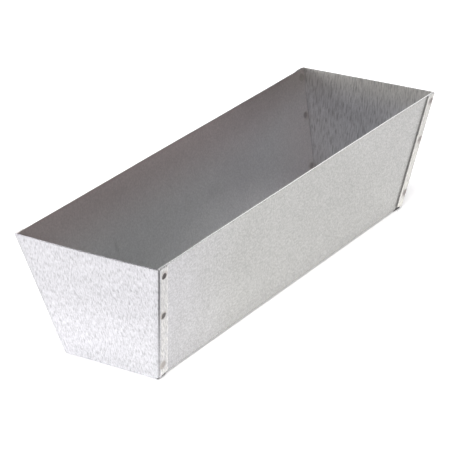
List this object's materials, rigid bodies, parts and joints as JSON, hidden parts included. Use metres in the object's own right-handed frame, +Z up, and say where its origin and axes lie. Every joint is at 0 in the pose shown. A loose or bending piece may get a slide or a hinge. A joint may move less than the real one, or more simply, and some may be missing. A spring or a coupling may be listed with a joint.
{
  "type": "mud pan",
  "caption": "Long open sheet-steel mud pan with leaning walls and spot-welded end plates, for mixing mortar or joint compound and scooping it up with a trowel or knife.",
  "frame": {"origin": "on the ground under the pan's middle", "axes": "+X along the pan, towards its right end; +Y across it, towards its back wall; +Z up, out of its open mouth"},
  "size_m": [0.3048, 0.1026, 0.0796],
  "materials": {
    "trough_sheet": "galvanised, satin, with a fine sandy grain",
    "end_plate_sheet": "galvanised, satin, with a streaky rolled grain",
    "spot_weld": "heat-darkened, dull"
  },
  "bodies": {
    "root": {"trough": "trough_sheet", "left_end_plate": "end_plate_sheet", "right_end_plate": "end_plate_sheet", "left_front_flange_welds": "spot_weld", "left_back_flange_welds": "spot_weld", "left_bottom_flange_welds": "spot_weld", "right_front_flange_welds": "spot_weld", "right_back_flange_welds": "spot_weld", "right_bottom_flange_welds": "spot_weld"}
  },
  "joints": []
}
